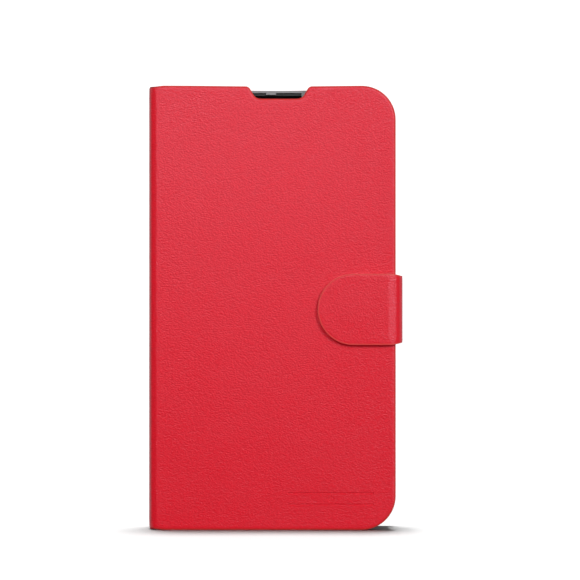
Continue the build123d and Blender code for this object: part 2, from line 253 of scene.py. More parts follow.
def sheet(name, rim, profile, columns, rows, top, bottom, place, *, holes=(), marks=(),
          trim_seam=False, edge_width=0.0, materials=()):
    """A closed sheet with shaped edges, cut flat and then laid in place.

    profile lists (distance from the edge, change of the top face, change of the bottom face).
    top and bottom give the faces' heights at u and v; place turns u, v and height into x, y, z.
    Faces within edge_width of the edge, and the cut edge itself, take the second material.
    """
    rings = [(rim, 1)] + [(hole, -1) for hole in holes]
    loops = [(inset(ring, side * d), d, t, b) for ring, side in rings for d, t, b in profile]
    loops += [(mark, FLAT[0], 0.0, 0.0) for mark in marks]
    margin = profile[-1][0] + GRID_CLEARANCE
    grid = np.array([(u, v) for u in columns for v in rows])
    keep = inside(grid, inset(rim, margin))
    for hole in holes:
        keep &= ~inside(grid, inset(hole, -margin))
    for mark in marks:
        near = np.linalg.norm(grid[:, None] - mark[None], axis=2).min(axis=1)
        keep &= near > MARK_CLEARANCE
    grid = grid[keep]

    flat = np.concatenate([loop[0] for loop in loops] + [grid])
    facts = np.concatenate([np.tile(loop[1:], (len(loop[0]), 1)) for loop in loops]
                           + [np.tile(FLAT, (len(grid), 1))])
    edges = []
    firsts = []
    start = 0
    for loop in loops:
        size = len(loop[0])
        edges += [(start + k, start + (k + 1) % size) for k in range(size)]
        firsts.append((start, size))
        start += size
    made = delaunay_2d_cdt([Vector(p) for p in flat], edges, [], 0, 1e-6)
    source = np.array([ids[0] if ids else -1 for ids in made[3]])
    if len(source) != len(flat) or (source < 0).any():
        raise ValueError(f"{name}: the outline crosses itself or repeats a point")
    triangles = source[np.array(made[2])]
    centres = flat[triangles].mean(axis=1)
    keep = inside(centres, rim)
    for hole in holes:
        keep &= ~inside(centres, hole)
    triangles = triangles[keep]

    u, v = flat[:, 0], flat[:, 1]
    faces_top = top(u, v) + facts[:, 1]
    faces_bottom = bottom(u, v) + facts[:, 2]
    count = len(flat)
    bm = bmesh.new()
    heights = np.concatenate([faces_top, faces_bottom])
    vertices = [bm.verts.new((a, b, h)) for a, b, h in zip(np.tile(u, 2), np.tile(v, 2), heights)]
    near_edge = facts[:, 0] <= edge_width
    for triangle in triangles:
        edge_face = bool(edge_width) and near_edge[triangle].all()
        for shift, order in ((0, triangle), (count, triangle[::-1])):
            face = bm.faces.new([vertices[i + shift] for i in order])
            face.material_index = int(edge_face)
    per_ring = len(profile)
    for ring_index in range(len(rings)):
        first, size = firsts[ring_index * per_ring]
        for k in range(size):
            a, b = first + k, first + (k + 1) % size
            face = bm.faces.new([vertices[i] for i in (a, a + count, b + count, b)])
            face.material_index = int(len(materials) > 1)
    loose = [vertex for vertex in bm.verts if not vertex.link_faces]
    bmesh.ops.delete(bm, geom=loose, context="VERTS")
    if trim_seam:
        trim(bm)
    return finish_sheet(name, bm, place, materials)


def trim(bm):
    """Cuts the sheet off at the seam, u = 0, and closes the cut."""
    everything = bm.verts[:] + bm.edges[:] + bm.faces[:]
    bmesh.ops.bisect_plane(bm, geom=everything, dist=1e-5, plane_co=(0, 0, 0),
                           plane_no=(-1, 0, 0), clear_outer=True)
    rim_edges = [edge for edge in bm.edges if edge.is_boundary]
    bmesh.ops.contextual_create(bm, geom=rim_edges)


def finish_sheet(name, bm, place, materials):
    """Keeps u and v in centimetres as a UV map, lays the sheet in place and shades it."""
    bmesh.ops.recalc_face_normals(bm, faces=bm.faces)
    uv = bm.loops.layers.uv.new("cut")
    for face in bm.faces:
        for corner in face.loops:
            corner[uv].uv = (corner.vert.co.x / 10, corner.vert.co.y / 10)
    flat = np.array([vertex.co for vertex in bm.verts])
    for vertex, position in zip(bm.verts, place(*flat.T)):
        vertex.co = Vector(position) * MM
    return finish_mesh(name, bm, materials)


def finish_mesh(name, bm, materials, sharp_deg=42):
    bmesh.ops.recalc_face_normals(bm, faces=bm.faces)
    for face in bm.faces:
        face.smooth = True
    for edge in bm.edges:
        if len(edge.link_faces) == 2 and edge.calc_face_angle() > math.radians(sharp_deg):
            edge.smooth = False
    mesh = bpy.data.meshes.new(name)
    bm.to_mesh(mesh)
    bm.free()
    for material in materials:
        mesh.materials.append(material)
    piece = bpy.data.objects.new(name, mesh)
    bpy.context.collection.objects.link(piece)
    return piece


def level(height):
    return lambda u, v: np.full(len(u), float(height))


# ---------------------------------------------------------------- material helpers
class Nodes:
    """Short names for building one material's nodes."""

    def __init__(self, name, colour, roughness, **sockets):
        self.material = bpy.data.materials.new(name)
        self.material.use_nodes = True
        self.tree = self.material.node_tree
        self.shader = self.tree.nodes["Principled BSDF"]
        self.shader.inputs["Base Color"].default_value = (*colour, 1)
        self.shader.inputs["Roughness"].default_value = roughness
        for socket, value in sockets.items():
            self.shader.inputs[socket.replace("_", " ")].default_value = value
        self.material.diffuse_color = (*colour, 1)

    def add(self, kind, inputs=None, **settings):
        node = self.tree.nodes.new(f"ShaderNode{kind}")
        for key, value in settings.items():
            setattr(node, key, value)
        for socket, value in (inputs or {}).items():
            self.feed(node.inputs[socket], value)
        return node

    def feed(self, socket, value):
        if isinstance(value, bpy.types.NodeSocket):
            self.tree.links.new(value, socket)
        else:
            socket.default_value = value

    def cut_map(self, stretch=(1, 1, 1)):
        """The flat cut's u and v, in centimetres."""
        uv = self.add("UVMap", uv_map="cut")
        return self.add("Mapping", {"Vector": uv.outputs["UV"], "Scale": stretch}).outputs[0]

    def object_map(self, scale=(1, 1, 1)):
        """The place on the object, in metres at scale 1."""
        place = self.add("TexCoord").outputs["Object"]
        return self.add("Mapping", {"Vector": place, "Scale": scale}).outputs[0]

    def noise(self, vector, scale, detail=2.0, rough=0.5):
        return self.add("TexNoise", {"Vector": vector, "Scale": scale, "Detail": detail,
                                     "Roughness": rough}).outputs["Fac"]

    def cells(self, vector, scale):
        return self.add("TexVoronoi", {"Vector": vector, "Scale": scale, "Smoothness": 0.6},
                        feature="SMOOTH_F1").outputs["Distance"]

    def span(self, value, low, high, to_low, to_high):
        return self.add("MapRange", {"Value": value, "From Min": low, "From Max": high,
                                     "To Min": to_low, "To Max": to_high}).outputs[0]

    def math(self, operation, a, b):
        return self.add("Math", {0: a, 1: b}, operation=operation).outputs[0]

    def mix(self, factor, a, b):
        node = self.add("Mix", data_type="RGBA")
        self.feed(node.inputs["Factor"], factor)
        self.feed(node.inputs[6], (*a, 1) if isinstance(a, tuple) else a)
        self.feed(node.inputs[7], (*b, 1) if isinstance(b, tuple) else b)
        return node.outputs[2]

    def bump(self, height, distance):
        """The normal of a surface raised by height times distance, in metres."""
        return self.add("Bump", {"Height": height, "Distance": distance, "Strength": 1.0}).outputs[0]

    def use(self, **sockets):
        for socket, value in sockets.items():
            self.feed(self.shader.inputs[socket.replace("_", " ")], value)
        return self.material


# ---------------------------------------------------------------- materials
RED = (0.68, 0.006, 0.018)
RED_DEEP = (0.49, 0.004, 0.011)
STRAP_EDGE_RED = (0.6, 0.03, 0.03)
COVER_EDGE = (0.52, 0.02, 0.018)


def leatherette(name, stretch=(0.6, 1.25, 1)):
    """Embossed coated fabric: pebbled grain about half a millimetre across."""
    n = Nodes(name, RED, 0.34, Specular_IOR_Level=0.56, Specular_Tint=(0.82, 0.82, 1, 1))
    cut = n.cut_map(stretch)
    pebbles = n.cells(cut, 21)
    fine = n.cells(cut, 43)
    pores = n.noise(cut, 90, 2, 0.6)
    patches = n.noise(cut, 0.45, 3, 0.55)
    height = n.math("ADD", pebbles, n.math("MULTIPLY", fine, 0.45))
    height = n.math("ADD", height, n.math("MULTIPLY", pores, 0.2))
    valley = n.span(height, 0.35, 1.0, 0, 1)
    colour = n.mix(n.math("MULTIPLY", valley, 0.5), RED, RED_DEEP)
    colour = n.mix(n.span(patches, 0.3, 0.7, 0, 0.1), colour, RED_DEEP)
    rough = n.math("ADD", n.span(valley, 0, 1, 0.3, 0.4), n.span(patches, 0.3, 0.7, -0.03, 0.03))
    normal = n.bump(n.math("MULTIPLY", height, -1), 0.00007)
    return n.use(Base_Color=colour, Roughness=rough, Normal=normal)


def cut_edge(name, colour, roughness, gloss):
    """The painted cut edge of the leatherette, a little more orange than its face."""
    n = Nodes(name, colour, roughness, Specular_IOR_Level=gloss)
    place = n.object_map()
    streaks = n.noise(n.object_map((1, 1, 3)), 700, 2, 0.6)
    darker = tuple(c * 0.9 for c in colour)
    colour = n.mix(n.span(streaks, 0.35, 0.7, 0, 1), colour, darker)
    return n.use(Base_Color=colour, Normal=n.bump(n.noise(place, 2500, 2), 0.00004))


def suedette(name, base, deep, sheen_tint):
    """Short brushed pile."""
    n = Nodes(name, base, 0.95, Specular_IOR_Level=0.15, Sheen_Weight=0.25, Sheen_Roughness=0.45,
              Sheen_Tint=(*sheen_tint, 1))
    cut = n.cut_map((1, 0.6, 1))
    nap = n.noise(cut, 55, 4, 0.7)
    strokes = n.noise(cut, 1.1, 3, 0.6)
    colour = n.mix(n.span(nap, 0.3, 0.7, 0, 1), base, deep)
    colour = n.mix(n.span(strokes, 0.4, 0.65, 0, 0.35), colour, deep)
    return n.use(Base_Color=colour, Normal=n.bump(nap, 0.0001))


def thread_material():
    """Twisted thread, its strands running aslant."""
    n = Nodes("thread", (0.6, 0.012, 0.03), 0.55, Specular_IOR_Level=0.4)
    twist = n.add("TexWave", {"Vector": n.object_map(), "Scale": 900.0, "Distortion": 0.5},
                  bands_direction="DIAGONAL").outputs["Fac"]
    colour = n.mix(twist, (0.5, 0.008, 0.02), (0.74, 0.03, 0.05))
    return n.use(Base_Color=colour, Normal=n.bump(twist, 0.00006))


def moulded(name, colour, roughness, grain_m, scale):
    """Moulded plastic or rubber with a fine spark-eroded texture."""
    n = Nodes(name, colour, roughness, Specular_IOR_Level=0.36)
    place = n.object_map()
    spark = n.noise(place, scale, 3, 0.6)
    drift = n.noise(place, 60, 2)
    lighter = tuple(c * 1.25 for c in colour)
    tint = n.mix(n.span(drift, 0.3, 0.7, 0, 0.5), colour, lighter)
    rough = n.math("ADD", n.span(drift, 0.3, 0.7, -0.04, 0.04), roughness)
    return n.use(Base_Color=tint, Roughness=rough, Normal=n.bump(spark, grain_m))


def fibreboard():
    """Raw board of pressed fibres."""
    n = Nodes("fibreboard", (0.36, 0.29, 0.2), 0.9)
    place = n.object_map((1, 1, 0.4))
    fibres = n.noise(place, 800, 4, 0.7)
    colour = n.mix(n.span(fibres, 0.35, 0.65, 0, 1), (0.42, 0.34, 0.24), (0.26, 0.2, 0.14))
    return n.use(Base_Color=colour, Normal=n.bump(fibres, 0.00008))


def plated_steel():
    """Plated sheet steel with faint drawing marks."""
    n = Nodes("plated_steel", (0.6, 0.6, 0.62), 0.3, Metallic=1.0)
    streaks = n.noise(n.object_map((1, 1, 8)), 900, 3, 0.6)
    return n.use(Roughness=n.span(streaks, 0.3, 0.7, 0.24, 0.4), Normal=n.bump(streaks, 0.00002))


LEATHER = leatherette("red_leatherette")
STRAP_LEATHER = leatherette("strap_leatherette", stretch=(0.75, 1.1, 1))
EDGE = cut_edge("cover_cut_edge", COVER_EDGE, roughness=0.6, gloss=0.3)
STRAP_CUT_EDGE = cut_edge("strap_cut_edge", STRAP_EDGE_RED, roughness=0.42, gloss=0.5)
SUEDE = suedette("red_suedette", base=(0.36, 0.014, 0.022), deep=(0.24, 0.008, 0.014),
                 sheen_tint=(0.9, 0.25, 0.25))
MICROFIBRE = suedette("black_microfibre", base=(0.02, 0.02, 0.022), deep=(0.011, 0.011, 0.012),
                      sheen_tint=(0.5, 0.5, 0.5))
THREAD = thread_material()
BLACK = moulded("black_holder", (0.012, 0.012, 0.0125), roughness=0.5, grain_m=0.00003, scale=3200)
GREY = moulded("grey_bumper", (0.19, 0.19, 0.195), roughness=0.48, grain_m=0.00002, scale=2600)
BOARD = fibreboard()
STEEL = plated_steel()


# ---------------------------------------------------------------- covers and spine
# The shaped edges: how far in, and how far the top and the bottom face move there.
SKIN_EDGE = ((0.0, -0.36, -0.2), (0.1, -0.25, -0.18), (0.3, -0.15, -0.12), (0.6, -0.06, -0.06),
             (0.9, -0.018, -0.03), (1.3, -0.004, 0.0), (1.6, 0.0, 0.0))
LINING_EDGE = ((0.0, 0.76, 0.62), (0.15, 0.72, 0.4), (0.3, 0.66, 0.3), (0.6, 0.42, 0.14),
               (0.9, 0.08, 0.04), (1.2, 0.0, 0.0), (1.5, 0.0, 0.0))
EDGE_BAND = 0.6             # width of the painted band along the covers' edges
CREASE_SOFT = (BEND_START - 1.25, BEND_END + 2.2)    # between the spine's and the cover's boards
CREASE_PRESS = 0.3          # how far the bend beside the spine is pressed in
CREASE_SINK = 0.72          # how far the lining sinks there
FRONT_DIP = 0.3             # each cover's top edge settles towards its middle
BACK_DIP = 0.78
DIP_REACH = 12.0            # how far down from the top edge
NOTCH_TOP = 23.2            # width in the covers' top edge
NOTCH_BOTTOM = 17.6
NOTCH_DEPTH = 4.8
NOTCH_X = opening_centre("earpiece_notch").x
NOTCH_RADII = (2.0, 3.2)
CAMERA = opening_centre("camera_window")
WINDOW_WIDTH = 15.0         # the camera window, clear of the holder's collar
WINDOW_HEIGHT = 26.0


def cover_rim(route, notch):
    """The cut outline of half a spine, a bend and a cover."""
    edge = route.u_at_x(RIGHT)
    bottom_left = [(-SEAM_MARGIN, SPINE_LOW, 0), (BEND_END - 0.5, SPINE_LOW, 4),
                   (BEND_END + 3, 0, 8)]
    top_left = [(u, HEIGHT - v, r) for u, v, r in reversed(bottom_left)]
    right = [(edge, 0, COVER_CORNER), (edge, HEIGHT, COVER_CORNER)]
    gap = []
    if notch:
        middle = route.u_at_x(NOTCH_X)
        floor_v = HEIGHT - NOTCH_DEPTH
        upper, lower = NOTCH_RADII
        gap = [(middle + NOTCH_TOP / 2, HEIGHT, upper), (middle + NOTCH_BOTTOM / 2, floor_v, lower),
               (middle - NOTCH_BOTTOM / 2, floor_v, lower), (middle - NOTCH_TOP / 2, HEIGHT, upper)]
    return outline(bottom_left + right + gap + top_left)


def settled(route, most):
    """Lays a cover along its route, its top edge a little lower towards the middle."""
    edge = route.u_at_x(RIGHT)

    def place(u, v, h):
        across = np.clip((u - BEND_END) / (edge - BEND_END), 0, 1)
        dip = most * np.sin(across * math.pi) ** 2 * smooth(v, HEIGHT - DIP_REACH, HEIGHT)
        return route.place(u, v - dip, h)

    return place


def cover_columns(route):
    edge = route.u_at_x(RIGHT)
    return spaced((-SEAM_MARGIN, BEND_START - 1, 1.2), (BEND_START - 1, BEND_END + 1, 0.3),
                  (BEND_END + 1, edge, 2.2))


ROWS = spaced((0, HEIGHT, 2.2))


def skin_top(seed, marks):
    """The outer face: board-flat with faint unevenness, softly rounded by wear at the bends."""
    def top(u, v):
        calm = smooth(u, 2, BEND_START - 1)
        fade = calm * smooth(u, 0, BEND_END + 6)
        waves = 0.035 * ripple(u, v, 26, seed) + 0.012 * ripple(u, v, 9, seed + 5)
        crease = smooth(u, BEND_START - 2, BEND_START) * (1 - smooth(u, BEND_END, BEND_END + 2))
        wrinkles = 0.03 * crease * ripple(u * 2.2, v * 0.5, 1.6, seed + 9)
        pressed = smooth(u, BEND_START - 0.6, BEND_START + 0.6)
        pressed = pressed * (1 - smooth(u, BEND_END - 0.7, BEND_END + 0.5))
        return fade * waves + wrinkles - CREASE_PRESS * pressed - marks(u, v)
    return top


def lining_level(height):
    """The lining sinks towards the skin where there is no board behind it, in the bends."""
    start, end = CREASE_SOFT

    def face(u, v):
        sunk = smooth(u, start, start + 1.3) * (1 - smooth(u, end - 1.3, end))
        return height + CREASE_SINK * sunk
    return face


def no_marks(u, v):
    return np.zeros(len(u))


ORNAMENT_X = 21.0           # two pressed lines with a lozenge between them
ORNAMENT_Z = 11.8
ORNAMENT_LENGTH = 33.0
ORNAMENT_SPREAD = 4.4       # between the lines' middles
ORNAMENT_LINE = 0.7         # width of a line
ORNAMENT_LOZENGE = 3.0
ORNAMENT_DEPTH = 0.17
ORNAMENT_SLOPE = 0.16       # width of the pressed shapes' sloping walls


def ornament_loops(route):
    """Loops of points just outside and inside each pressed shape, so that its walls are crisp."""
    middle = route.u_at_x(ORNAMENT_X)
    loops = []
    for grow in (ORNAMENT_SLOPE / 2, -ORNAMENT_SLOPE / 2):
        half = ORNAMENT_LENGTH / 2 + grow
        rise = ORNAMENT_LINE / 2 + grow
        for side in (-1, 1):
            v = ORNAMENT_Z + side * ORNAMENT_SPREAD / 2
            corners = [(middle - half, v - rise), (middle + half, v - rise),
                       (middle + half, v + rise), (middle - half, v + rise)]
            loops.append(outline([(a, b, rise * 0.98) for a, b in corners], 1.5))
        reach = ORNAMENT_LOZENGE / 2 + grow * math.sqrt(2)
        points = [(middle, ORNAMENT_Z - reach), (middle + reach, ORNAMENT_Z),
                  (middle, ORNAMENT_Z + reach), (middle - reach, ORNAMENT_Z)]
        loops.append(outline([(a, b, 0) for a, b in points], 0.8))
    return loops


def ornament_marks(route):
    """How deep the ornament is pressed at u and v."""
    middle = route.u_at_x(ORNAMENT_X)

    def depth(u, v):
        along = np.maximum(np.abs(u - middle) - (ORNAMENT_LENGTH - ORNAMENT_LINE) / 2, 0)
        across = np.abs(np.abs(v - ORNAMENT_Z) - ORNAMENT_SPREAD / 2)
        line = np.hypot(along, across) - ORNAMENT_LINE / 2
        lozenge = (np.abs(u - middle) + np.abs(v - ORNAMENT_Z) - ORNAMENT_LOZENGE / 2) / math.sqrt(2)
        distance = np.minimum(line, lozenge)
        return ORNAMENT_DEPTH * (1 - smooth(distance, -ORNAMENT_SLOPE / 2, ORNAMENT_SLOPE / 2))
    return depth


def make_cover(name, route, notch, seed):
    """Half the outer sheet and half the lining: from the middle of the spine round a cover."""
    rim = cover_rim(route, notch)
    holes = () if notch else (slot(route.u_at_x(CAMERA.x), CAMERA.z, WINDOW_WIDTH, WINDOW_HEIGHT),)
    marks = ornament_loops(route) if notch else ()
    pressed = ornament_marks(route) if notch else no_marks
    place = settled(route, FRONT_DIP if notch else BACK_DIP)
    columns = cover_columns(route)
    skin = sheet(f"{name}_outer_sheet", rim, SKIN_EDGE, columns, ROWS,
                 skin_top(seed, pressed), level(-SKIN), place, holes=holes, marks=marks,
                 trim_seam=True, edge_width=EDGE_BAND, materials=(LEATHER, EDGE))
    lining = sheet(f"{name}_lining_sheet", rim, LINING_EDGE, columns, ROWS,
                   lining_level(LINING - PANEL), lining_level(-PANEL), place, holes=holes,
                   trim_seam=True, materials=(SUEDE, EDGE))
    return skin, lining


def blend_at_spine(piece):
    """Bakes the sheet's place into its mesh."""
    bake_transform(piece)


front_skin, front_lining = make_cover("front", FRONT_ROUTE, notch=True, seed=3)
back_skin, back_lining = make_cover("back", BACK_ROUTE, notch=False, seed=41)
for piece in (front_skin, front_lining):
    blend_at_spine(piece)
for piece in (back_skin, back_lining):
    blend_at_spine(piece)
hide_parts("front_skin", "front_crease", "spine_skin")
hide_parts("back_skin", "back_crease")
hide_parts("front_lining", "front_crease_lining", "spine_lining")
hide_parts("back_lining", "back_crease_lining")


# ---------------------------------------------------------------- strap
FACET_LEFT = 42.7           # the strap slopes down from the tab, and then turns round the side
FACET_SLOPE = math.radians(12)
FACET_EASE = 5.0            # radius where the slope starts
TURN_RADIUS = 4.0
STRAP_EDGE = ((0.0, -0.13, 0.0), (0.06, -0.05, 0.0), (0.3, -0.045, 0.0), (0.55, -0.04, 0.0),
              (0.8, -0.015, 0.0), (1.2, 0.0, 0.0))
STRAP_LINING_EDGE = ((0.0, 0.0, 0.1), (0.15, 0.0, 0.04), (0.4, 0.0, 0.0), (0.7, 0.0, 0.0))
STRAP_BAND = 0.55           # width of the painted band along the strap's edges
TAB_RADIUS = (TAB_HIGH - TAB_LOW) / 2
FLARE_START = 6.0           # the strap widens to the tab between these, before the facet's start
FLARE_END = 1.8
FLARE_RADIUS = 9.0
MAGNET_RISE = 0.05


def strap_front_route():
    """From the middle of the side round the turn, up the sloping facet and along the tab."""
    depth = STRAP_SKIN / 2
    slope = math.degrees(FACET_SLOPE)
    level_y = TAB_FRONT + depth
    ease = FACET_EASE - depth
    radius = TURN_RADIUS - depth
    # The turn's centre lies so that its outside just reaches the strap's side, and the facet
    # runs on from it without a corner.
    centre_x = STRAP_RIGHT - TURN_RADIUS
    foot = Vector((FACET_LEFT + ease * math.sin(FACET_SLOPE),
                   level_y + ease * (1 - math.cos(FACET_SLOPE))))
    top_x = centre_x + radius * math.sin(FACET_SLOPE)
    top_y = foot.y + (top_x - foot.x) * math.tan(FACET_SLOPE)
    centre = (centre_x, top_y + radius * math.cos(FACET_SLOPE))
    turn = quarter(centre, radius, 0, slope - 90)
    start = (STRAP_RIGHT - depth, MIDDLE_Y + SEAM_MARGIN)
    easing = quarter((FACET_LEFT, level_y + ease), ease, slope - 90, -90, 6)
    end = (TAB_LEFT - RUN_OUT, level_y)
    points = straight(start, turn[0]) + turn + straight(turn[-1], easing[0]) + easing
    return Route(points + straight(easing[-1], end), -1, depth, -SEAM_MARGIN)


def strap_back_route():
    """From the middle of the side round the back bend and in under the back cover's skin."""
    depth = STRAP_SKIN / 2
    radius = STRAP_RIGHT - RIGHT
    centre = (RIGHT, ANCHOR_BACK - radius)
    bend = quarter(centre, radius - depth, 0, 90)
    start = (STRAP_RIGHT - depth, MIDDLE_Y - SEAM_MARGIN)
    end = (ANCHOR_LEFT - RUN_OUT, ANCHOR_BACK - depth)
    return Route(straight(start, bend[0]) + bend + straight(bend[-1], end), 1, depth, -SEAM_MARGIN)


STRAP_FRONT = strap_front_route()
STRAP_BACK = strap_back_route()


def tab_rim():
    """The strap's outline from the middle of the side to the round end of the tab."""
    end = STRAP_FRONT.u_at_x(TAB_LEFT)
    neck = STRAP_FRONT.u_at_x(FACET_LEFT)
    lower = [(-SEAM_MARGIN, -STRAP_HALF, 0), (neck - FLARE_START, -STRAP_HALF, FLARE_RADIUS),
             (neck - FLARE_END, -TAB_RADIUS, FLARE_RADIUS), (end, -TAB_RADIUS, TAB_RADIUS - 0.01)]
    upper = [(u, -v, r) for u, v, r in reversed(lower)]
    return outline([(u, v + STRAP_Z, r) for u, v, r in lower + upper], 1.2)


def anchor_rim():
    """The outline of the strap's root, from the middle of the side to inside the back cover."""
    end = STRAP_BACK.u_at_x(ANCHOR_LEFT)
    low, high = STRAP_Z - STRAP_HALF, STRAP_Z + STRAP_HALF
    corners = [(-SEAM_MARGIN, low, 0), (end, low, 2), (end, high, 2), (-SEAM_MARGIN, high, 0)]
    return outline(corners, 1.2)


def strap_top(u, v):
    """The strap's outer face, with a faint rise over the magnet."""
    magnet = np.hypot(u - STRAP_FRONT.u_at_x(MAGNET_X), v - STRAP_Z)
    rise = MAGNET_RISE * (1 - smooth(magnet, 4.5, 8.0))
    return rise + 0.02 * smooth(u, 0, 5) * ripple(u, v, 7, 77)


def tab_core(u):
    """How far the tab's core parts its two layers: nothing round the bend, then the full core."""
    full = TAB_BACK - TAB_FRONT - STRAP_SKIN - STRAP_LINING
    filler_end = STRAP_FRONT.u_at_x(corners_mm("strap_filler")[1].x)
    return full * smooth(u, filler_end - 3.0, filler_end - 0.1)


def outer_back(u, v):
    """The back of the strap's outer layer, which is turned in round the core at the tab's edge."""
    round_start = STRAP_FRONT.u_at_x(TAB_LEFT + TAB_RADIUS)
    from_edge = TAB_RADIUS - np.hypot(np.maximum(u - round_start, 0), v - STRAP_Z)
    return -STRAP_SKIN - tab_core(u) * (1 - smooth(from_edge, 0.35, 0.95))


def make_strap():
    """The strap's two layers, each cut in two at the seam in the middle of its side."""
    rim = tab_rim()
    neck = STRAP_FRONT.u_at_x(FACET_LEFT)
    end = STRAP_FRONT.u_at_x(TAB_LEFT)
    columns = spaced((-SEAM_MARGIN, neck - 8, 1.0), (neck - 8, neck + 3, 0.3), (neck + 3, end, 1.2))
    rows = spaced((STRAP_Z - TAB_RADIUS, STRAP_Z + TAB_RADIUS, 1.2))
    outer = sheet("strap_outer_layer", rim, STRAP_EDGE, columns, rows, strap_top, outer_back,
                  STRAP_FRONT.place, trim_seam=True, edge_width=STRAP_BAND,
                  materials=(STRAP_LEATHER, STRAP_CUT_EDGE))

    def lining_face(depth):
        return lambda u, v: -STRAP_SKIN - tab_core(u) - depth

    inner = sheet("strap_inner_layer", rim, STRAP_LINING_EDGE, columns, rows, lining_face(0.0),
                  lining_face(STRAP_LINING), STRAP_FRONT.place, trim_seam=True,
                  materials=(SUEDE, STRAP_CUT_EDGE))
    root_end = STRAP_BACK.u_at_x(ANCHOR_LEFT)
    back_columns = spaced((-SEAM_MARGIN, 3, 1.0), (3, 14, 0.3), (14, root_end, 2))
    root = sheet("strap_root_layer", anchor_rim(), STRAP_EDGE, back_columns, rows,
                 level(0.0), level(-STRAP_SKIN), STRAP_BACK.place, trim_seam=True,
                 edge_width=STRAP_BAND, materials=(STRAP_LEATHER, STRAP_CUT_EDGE))
    root_lining = sheet("strap_root_lining", anchor_rim(), STRAP_LINING_EDGE, back_columns, rows,
                        level(-STRAP_SKIN), level(-STRAP_SKIN - STRAP_LINING), STRAP_BACK.place,
                        trim_seam=True, materials=(SUEDE, STRAP_CUT_EDGE))
    return outer, inner, root, root_lining


strap_outer, strap_inner, strap_root, strap_root_lining = make_strap()
for piece in (strap_outer, strap_inner):
    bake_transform(piece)
for piece in (strap_root, strap_root_lining):
    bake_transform(piece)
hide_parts("strap_tab", "strap_front_bend", "strap_side")
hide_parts("strap_tab_lining")
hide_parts("strap_back_bend", "strap_anchor")


# ---------------------------------------------------------------- pockets
POCKET_EDGE = ((0.0, -0.12, 0.0), (0.1, -0.05, 0.0), (0.3, 0.0, 0.0), (0.6, 0.0, 0.0))
POCKET_MARGIN = 1.2         # the lowest pockets follow the cover's round corner this far inside
THUMB_DIP = 9.0             # half the width of the dip in a card pocket's mouth
THUMB_DEPTH = 2.4
HEM = 3.2
HEM_RISE = 0.16             # the folded hem is thicker than the sheet
HEM_PRESS = 0.08            # and a line is pressed below it
STITCH_PITCH = 3.2
STITCH_START = 0.4
STITCH_LENGTH = 2.3
STITCH_RADIUS = 0.26
STITCH_INSET = 1.3          # from the pockets' edge
STITCH_RISE = 0.06          # the ends of a stitch above the sheet, and how far its middle
STITCH_ARCH = 0.12          # stands above them


def laid_flat(back_y):
    """Lays a sheet flat, upright and across the case; its heights grow towards +Y."""
    return lambda u, v, h: np.stack([u, back_y + h, v], axis=1)


def pocket_corners(low, high):
    foot = COVER_CORNER - POCKET_MARGIN if low.z < 5 else 0
    return [(low.x, low.z, 0), (high.x, low.z, foot), (high.x, high.z, 0), (low.x, high.z, 0)]


def pocket_rim(node):
    """The pocket's outline, with a shallow thumb dip in the mouth of a card pocket."""
    low, high = corners_mm(node)
    rim = outline(pocket_corners(low, high))
    if node != "cash_pocket":
        middle = (low.x + high.x) / 2
        reach = np.clip(1 - (np.abs(rim[:, 0] - middle) / THUMB_DIP) ** 2, 0, 1)
        on_mouth = rim[:, 1] > high.z - 0.01
        rim[:, 1] -= np.where(on_mouth, THUMB_DEPTH * reach ** 1.3, 0)
    return rim


def make_pocket(node, seed):
    """A pocket sheet with a hem along its mouth."""
    low, high = corners_mm(node)
    thickness = high.y - low.y
    middle = (low.x + high.x) / 2

    def top(u, v):
        mouth = high.z - v
        if node != "cash_pocket":
            mouth = mouth - THUMB_DEPTH * np.clip(1 - ((u - middle) / THUMB_DIP) ** 2, 0, 1) ** 1.3
        hem = HEM_RISE * (1 - smooth(mouth, HEM - 0.5, HEM + 0.2))
        pressed = HEM_PRESS * np.exp(-((mouth - HEM - 0.5) / 0.35) ** 2)
        return thickness + hem - pressed + 0.03 * ripple(u, v, 15, seed)

    rows = spaced((low.z, high.z - HEM - 2, 2.2), (high.z - HEM - 2, high.z, 0.45))
    columns = spaced((low.x, high.x, 1.8))
    piece = sheet(f"{node}_sheet", pocket_rim(node), POCKET_EDGE, columns, rows, top, level(0.0),
                  laid_flat(low.y), edge_width=0.1, materials=(LEATHER, EDGE))
    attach(piece, "front_cover")
    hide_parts(node)


def capsule(bm, centre, direction, up, length, radius):
    """One raised stitch: a thread that dives at both ends."""
    along, over = direction.normalized(), up.normalized()
    across = along.cross(over)
    sides = 8
    rings = []
    for k in range(7):
        t = k / 6 * 2 - 1
        swell = math.sqrt(max(0.0, 1 - t ** 4)) * radius + 0.02
        lift = STITCH_ARCH * (1 - t * t)
        middle = centre + along * (t * length / 2) + over * lift
        ring = []
        for a in np.linspace(0, 2 * math.pi, sides + 1)[:-1]:
            point = middle + across * math.cos(a) * swell + over * math.sin(a) * swell * 0.8
            ring.append(bm.verts.new(point * MM))
        rings.append(ring)
    for a, b in zip(rings, rings[1:]):
        for i in range(sides):
            after = (i + 1) % sides
            bm.faces.new((a[i], a[after], b[after], b[i]))
    bm.faces.new(rings[0])
    bm.faces.new(rings[-1][::-1])


